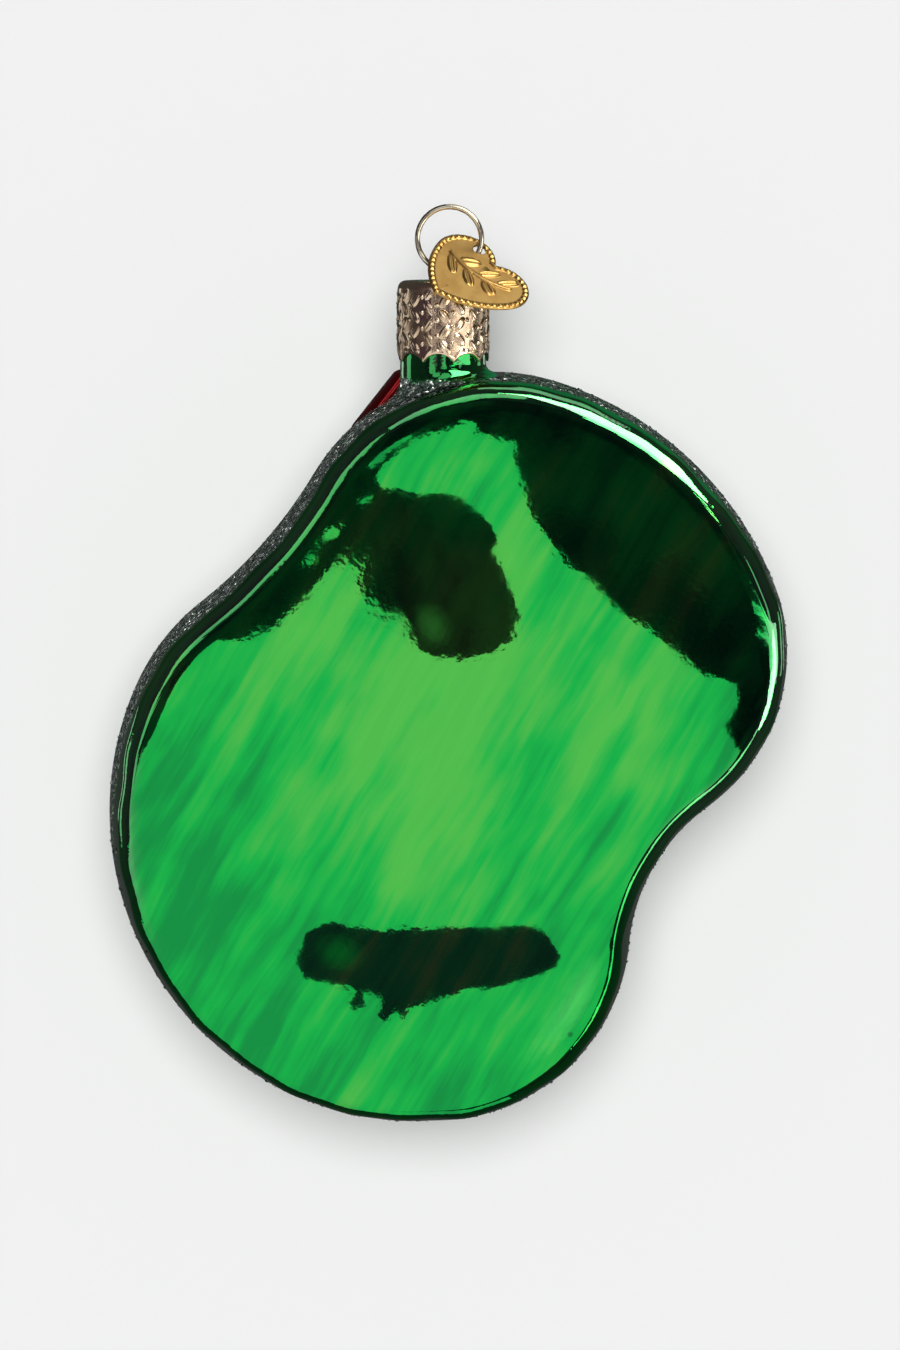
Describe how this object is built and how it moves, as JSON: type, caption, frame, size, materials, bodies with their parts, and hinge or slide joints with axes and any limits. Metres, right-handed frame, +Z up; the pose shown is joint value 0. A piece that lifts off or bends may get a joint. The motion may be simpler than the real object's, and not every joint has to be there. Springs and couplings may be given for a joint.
{
  "type": "putting green ornament",
  "caption": "Hollow kidney-shaped glass hanging ornament of a putting green, with moulded flag, cup and ball, a stamped cap, a sprung wire loop and a loose heart tag.",
  "frame": {"origin": "inside top of the wire hanging loop, where a hook bears", "axes": "+Z up along the neck, +Y towards the decorated front, so the flat mirrored back faces -Y; +X to the right as seen from the flat back"},
  "size_m": [0.0753, 0.0224, 0.102],
  "materials": {
    "green_glass": "green lacquer over silvered glass",
    "gold_cap": "pale gold, stamped",
    "gold_wire": "bright drawn wire",
    "gold_tag": "satin gold, stamped"
  },
  "bodies": {
    "hanger": {"hanger_wire": "gold_wire"},
    "cap": {"cap": "gold_cap"},
    "glass": {"glass_bulb": "green_glass"},
    "tag": {"tag": "gold_tag"}
  },
  "joints": [
    {"name": "tag_swing", "type": "hinge", "parent": "hanger", "child": "tag", "pos_m": [0.00331, 0, -0.00454], "axis": [-1, 0, 0], "range_deg": [0, 90]},
    {"name": "cap_turn", "type": "hinge", "parent": "hanger", "child": "cap", "pos_m": [-0.00072, 0, -0.00785], "axis": [0, 0, 1], "continuous": true},
    {"name": "glass_pull", "type": "slide", "parent": "cap", "child": "glass", "axis": [0, 0, -1], "range_m": [0, 0.02]}
  ]
}
